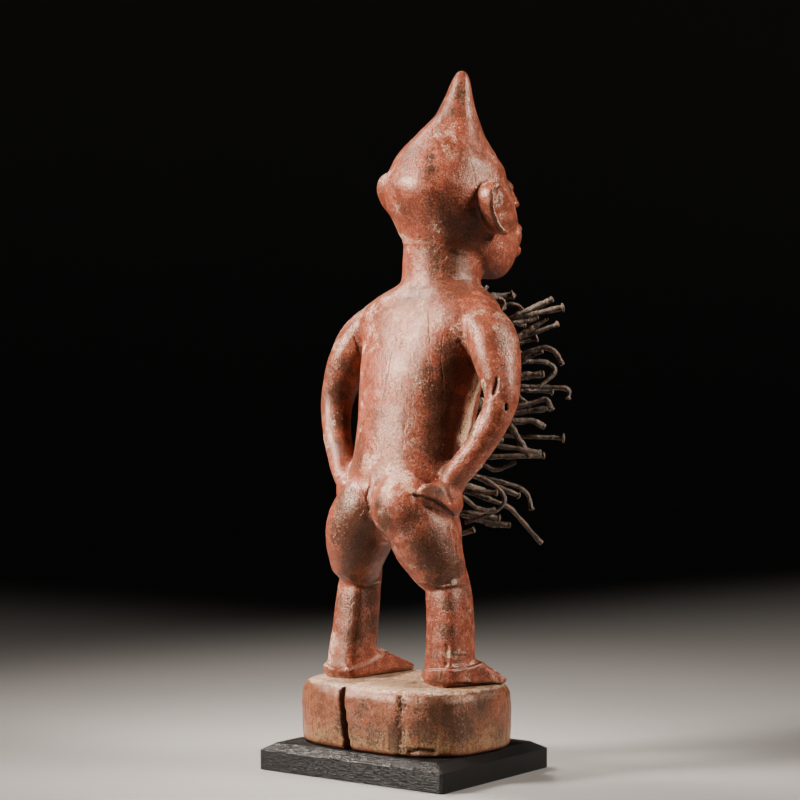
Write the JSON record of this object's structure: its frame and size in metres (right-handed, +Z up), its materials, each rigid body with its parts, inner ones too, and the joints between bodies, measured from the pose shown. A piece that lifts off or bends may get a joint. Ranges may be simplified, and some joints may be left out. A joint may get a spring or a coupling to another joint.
{
  "type": "power figure",
  "caption": "Carved wooden nkisi nkondi figure with a pointed cap, hands on hips, a belly pack and forged nails, on its drum base and a bevelled display plinth.",
  "frame": {"origin": "centre of the plinth's underside, on the surface it stands on", "axes": "+Z up, the figure faces -Y, its right side is -X; the figure's own block is turned 3.3 degrees about Z on the plinth"},
  "size_m": [0.226, 0.2237, 0.6232],
  "materials": {
    "carved_wood": "worn red-brown polish with dark patina and dusty pale specks",
    "black_wood": "black-stained open-grain wood, satin",
    "resin_pack": "dusty tan-grey resin and clay, matte",
    "iron": "hand-forged iron, grey-brown with orange rust"
  },
  "bodies": {
    "root": {"plinth": "black_wood", "figure": "carved_wood", "medicine_pack": "resin_pack", "nail_01": "iron", "nail_02": "iron", "nail_03": "iron", "nail_04": "iron", "nail_05": "iron", "nail_06": "iron", "nail_07": "iron", "nail_08": "iron", "nail_09": "iron", "nail_10": "iron", "nail_11": "iron", "nail_12": "iron", "nail_13": "iron", "nail_14": "iron", "nail_15": "iron", "nail_16": "iron", "nail_17": "iron", "nail_18": "iron", "nail_19": "iron", "nail_20": "iron", "nail_21": "iron", "nail_22": "iron", "nail_23": "iron", "nail_24": "iron", "nail_25": "iron", "nail_26": "iron", "nail_27": "iron", "nail_28": "iron", "nail_29": "iron", "nail_30": "iron", "nail_31": "iron", "nail_32": "iron", "nail_33": "iron", "nail_34": "iron", "nail_35": "iron", "nail_36": "iron", "nail_37": "iron", "nail_38": "iron", "nail_39": "iron", "nail_40": "iron", "nail_41": "iron", "nail_42": "iron", "nail_43": "iron", "nail_44": "iron", "nail_45": "iron", "nail_46": "iron", "nail_47": "iron", "nail_48": "iron", "nail_49": "iron", "nail_50": "iron", "nail_51": "iron"}
  },
  "joints": []
}
